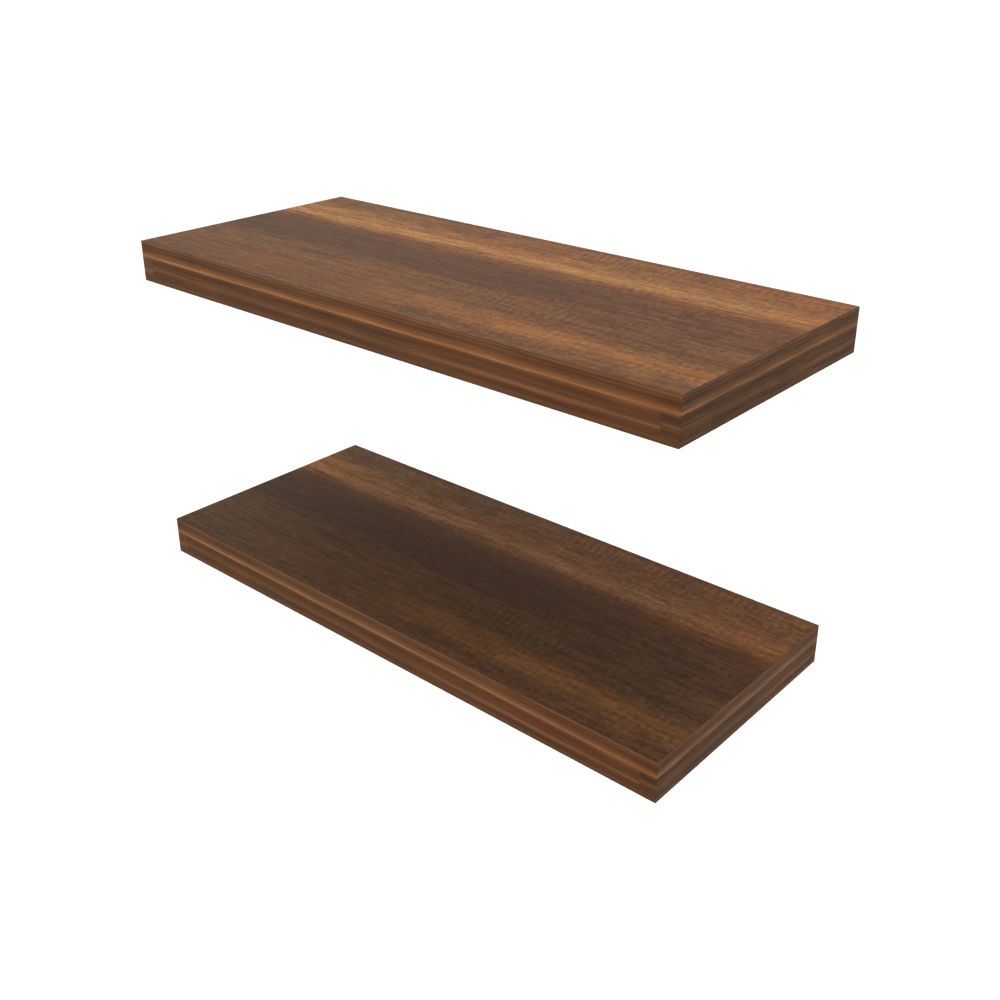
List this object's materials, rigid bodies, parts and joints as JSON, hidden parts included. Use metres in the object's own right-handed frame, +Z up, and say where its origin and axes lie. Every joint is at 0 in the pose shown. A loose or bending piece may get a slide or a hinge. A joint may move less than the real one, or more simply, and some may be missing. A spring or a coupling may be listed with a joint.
{
  "type": "floating wall shelf",
  "caption": "Thick hollow wall shelf boards in dark walnut decor, each sliding onto a hidden wall bracket with steel rods and locked from below.",
  "frame": {"origin": "centre of the upper bracket's face on the wall", "axes": "+X along the shelf to the right, +Y into the wall, +Z up"},
  "size_m": [0.6, 0.25, 0.33],
  "materials": {
    "walnut_board": "dark walnut decor on particle board, satin, with printed grain along the length",
    "core_timber": "plain sawn softwood",
    "dowel_beech": "smooth beech",
    "bracket_steel": "zinc-plated steel, dull",
    "bush_plastic": "natural white nylon",
    "insert_brass": "turned brass",
    "lock_steel": "black oxide"
  },
  "bodies": {
    "wall_brackets": {"upper_wall_plate": "bracket_steel", "upper_left_rod": "bracket_steel", "upper_right_rod": "bracket_steel", "lower_wall_plate": "bracket_steel", "lower_left_rod": "bracket_steel", "lower_right_rod": "bracket_steel"},
    "upper_shelf": {"upper_top_panel": "walnut_board", "upper_bottom_panel": "walnut_board", "upper_front_rail": "walnut_board", "upper_left_rail": "walnut_board", "upper_right_rail": "walnut_board", "upper_middle_rail": "core_timber", "upper_back_rail": "core_timber", "upper_frame_dowels": "dowel_beech", "upper_rod_bushes": "bush_plastic", "upper_lock_inserts": "insert_brass"},
    "upper_left_lock": {"upper_left_lock_screw": "lock_steel"},
    "upper_right_lock": {"upper_right_lock_screw": "lock_steel"},
    "lower_shelf": {"lower_top_panel": "walnut_board", "lower_bottom_panel": "walnut_board", "lower_front_rail": "walnut_board", "lower_left_rail": "walnut_board", "lower_right_rail": "walnut_board", "lower_middle_rail": "core_timber", "lower_back_rail": "core_timber", "lower_frame_dowels": "dowel_beech", "lower_rod_bushes": "bush_plastic", "lower_lock_inserts": "insert_brass"},
    "lower_left_lock": {"lower_left_lock_screw": "lock_steel"},
    "lower_right_lock": {"lower_right_lock_screw": "lock_steel"}
  },
  "joints": [
    {"name": "upper_shelf_slide", "type": "slide", "parent": "wall_brackets", "child": "upper_shelf", "axis": [0, -1, 0], "range_m": [0, 0.17]},
    {"name": "upper_left_lock_travel", "type": "slide", "parent": "upper_shelf", "child": "upper_left_lock", "axis": [0, 0, -1], "range_m": [0, 0.005]},
    {"name": "upper_right_lock_travel", "type": "slide", "parent": "upper_shelf", "child": "upper_right_lock", "axis": [0, 0, -1], "range_m": [0, 0.005]},
    {"name": "lower_shelf_slide", "type": "slide", "parent": "wall_brackets", "child": "lower_shelf", "axis": [0, -1, 0], "range_m": [0, 0.17]},
    {"name": "lower_left_lock_travel", "type": "slide", "parent": "lower_shelf", "child": "lower_left_lock", "axis": [0, 0, -1], "range_m": [0, 0.005]},
    {"name": "lower_right_lock_travel", "type": "slide", "parent": "lower_shelf", "child": "lower_right_lock", "axis": [0, 0, -1], "range_m": [0, 0.005]}
  ]
}
